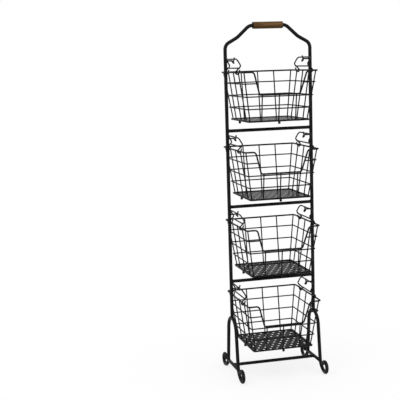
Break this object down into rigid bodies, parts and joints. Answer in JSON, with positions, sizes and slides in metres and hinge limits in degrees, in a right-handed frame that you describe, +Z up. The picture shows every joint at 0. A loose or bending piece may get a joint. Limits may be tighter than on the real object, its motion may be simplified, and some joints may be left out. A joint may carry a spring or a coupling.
{
  "type": "basket stand",
  "caption": "Tall carrying-handle stand of bent black tube with hanging, low-fronted wire baskets one above the other and a wooden grip.",
  "frame": {"origin": "on the floor, in the middle of the four scroll feet", "axes": "+Z up, -Y towards the low fronts of the baskets, +X to the right for someone facing the low fronts"},
  "size_m": [0.3348, 0.276, 1.2995],
  "materials": {
    "black_steel": "satin black powder coat",
    "floor_sheet": "satin black powder coat",
    "end_caps": "satin black",
    "wood": "oiled, brown"
  },
  "bodies": {
    "frame": {"handle_hoop": "black_steel", "grip_end_caps": "end_caps", "right_leg_hoop": "black_steel", "left_leg_hoop": "black_steel", "right_base_post": "black_steel", "left_base_post": "black_steel", "right_leg_stretcher": "black_steel", "left_leg_stretcher": "black_steel", "base_crossbar": "black_steel", "right_upper_post": "black_steel", "left_upper_post": "black_steel", "upper_rung": "black_steel", "right_middle_post": "black_steel", "left_middle_post": "black_steel", "middle_rung": "black_steel", "right_lower_post": "black_steel", "left_lower_post": "black_steel", "lower_rung": "black_steel", "tier_1_hooks": "black_steel", "tier_2_hooks": "black_steel", "tier_3_hooks": "black_steel", "tier_4_hooks": "black_steel", "joint_screws": "black_steel"},
    "grip": {"handle_grip": "wood"},
    "basket_1": {"basket_1_rim": "black_steel", "basket_1_rings": "black_steel", "basket_1_uprights": "black_steel", "basket_1_floor": "floor_sheet", "basket_1_feet": "black_steel"},
    "basket_1_right_hanger": {"basket_1_right_hanger": "black_steel"},
    "basket_1_left_hanger": {"basket_1_left_hanger": "black_steel"},
    "basket_2": {"basket_2_rim": "black_steel", "basket_2_rings": "black_steel", "basket_2_uprights": "black_steel", "basket_2_floor": "floor_sheet", "basket_2_feet": "black_steel"},
    "basket_2_right_hanger": {"basket_2_right_hanger": "black_steel"},
    "basket_2_left_hanger": {"basket_2_left_hanger": "black_steel"},
    "basket_3": {"basket_3_rim": "black_steel", "basket_3_rings": "black_steel", "basket_3_uprights": "black_steel", "basket_3_floor": "floor_sheet", "basket_3_feet": "black_steel"},
    "basket_3_right_hanger": {"basket_3_right_hanger": "black_steel"},
    "basket_3_left_hanger": {"basket_3_left_hanger": "black_steel"},
    "basket_4": {"basket_4_rim": "black_steel", "basket_4_rings": "black_steel", "basket_4_uprights": "black_steel", "basket_4_floor": "floor_sheet", "basket_4_feet": "black_steel"},
    "basket_4_right_hanger": {"basket_4_right_hanger": "black_steel"},
    "basket_4_left_hanger": {"basket_4_left_hanger": "black_steel"}
  },
  "joints": [
    {"name": "grip_spin", "type": "hinge", "parent": "frame", "child": "grip", "pos_m": [0, 0, 1.28697], "axis": [1, 0, 0], "continuous": true},
    {"name": "basket_1_swing", "type": "hinge", "parent": "frame", "child": "basket_1", "pos_m": [0, 0, 1.16347], "axis": [1, 0, 0], "range_deg": [-20, 20]},
    {"name": "basket_1_right_hanger_tilt", "type": "hinge", "parent": "basket_1", "child": "basket_1_right_hanger", "pos_m": [0.138, 0, 1.1221], "axis": [0, 1, 0], "range_deg": [0, 6]},
    {"name": "basket_1_left_hanger_tilt", "type": "hinge", "parent": "basket_1", "child": "basket_1_left_hanger", "pos_m": [-0.138, 0, 1.1221], "axis": [0, -1, 0], "range_deg": [0, 6]},
    {"name": "basket_2_swing", "type": "hinge", "parent": "frame", "child": "basket_2", "pos_m": [0, 0, 0.88531], "axis": [1, 0, 0], "range_deg": [-20, 20]},
    {"name": "basket_2_right_hanger_tilt", "type": "hinge", "parent": "basket_2", "child": "basket_2_right_hanger", "pos_m": [0.138, 0, 0.84394], "axis": [0, 1, 0], "range_deg": [0, 6]},
    {"name": "basket_2_left_hanger_tilt", "type": "hinge", "parent": "basket_2", "child": "basket_2_left_hanger", "pos_m": [-0.138, 0, 0.84394], "axis": [0, -1, 0], "range_deg": [0, 6]},
    {"name": "basket_3_swing", "type": "hinge", "parent": "frame", "child": "basket_3", "pos_m": [0, 0, 0.60716], "axis": [1, 0, 0], "range_deg": [-20, 20]},
    {"name": "basket_3_right_hanger_tilt", "type": "hinge", "parent": "basket_3", "child": "basket_3_right_hanger", "pos_m": [0.138, 0, 0.56578], "axis": [0, 1, 0], "range_deg": [0, 6]},
    {"name": "basket_3_left_hanger_tilt", "type": "hinge", "parent": "basket_3", "child": "basket_3_left_hanger", "pos_m": [-0.138, 0, 0.56578], "axis": [0, -1, 0], "range_deg": [0, 6]},
    {"name": "basket_4_swing", "type": "hinge", "parent": "frame", "child": "basket_4", "pos_m": [0, 0, 0.329], "axis": [1, 0, 0], "range_deg": [-20, 20]},
    {"name": "basket_4_right_hanger_tilt", "type": "hinge", "parent": "basket_4", "child": "basket_4_right_hanger", "pos_m": [0.138, 0, 0.28763], "axis": [0, 1, 0], "range_deg": [0, 6]},
    {"name": "basket_4_left_hanger_tilt", "type": "hinge", "parent": "basket_4", "child": "basket_4_left_hanger", "pos_m": [-0.138, 0, 0.28763], "axis": [0, -1, 0], "range_deg": [0, 6]}
  ]
}
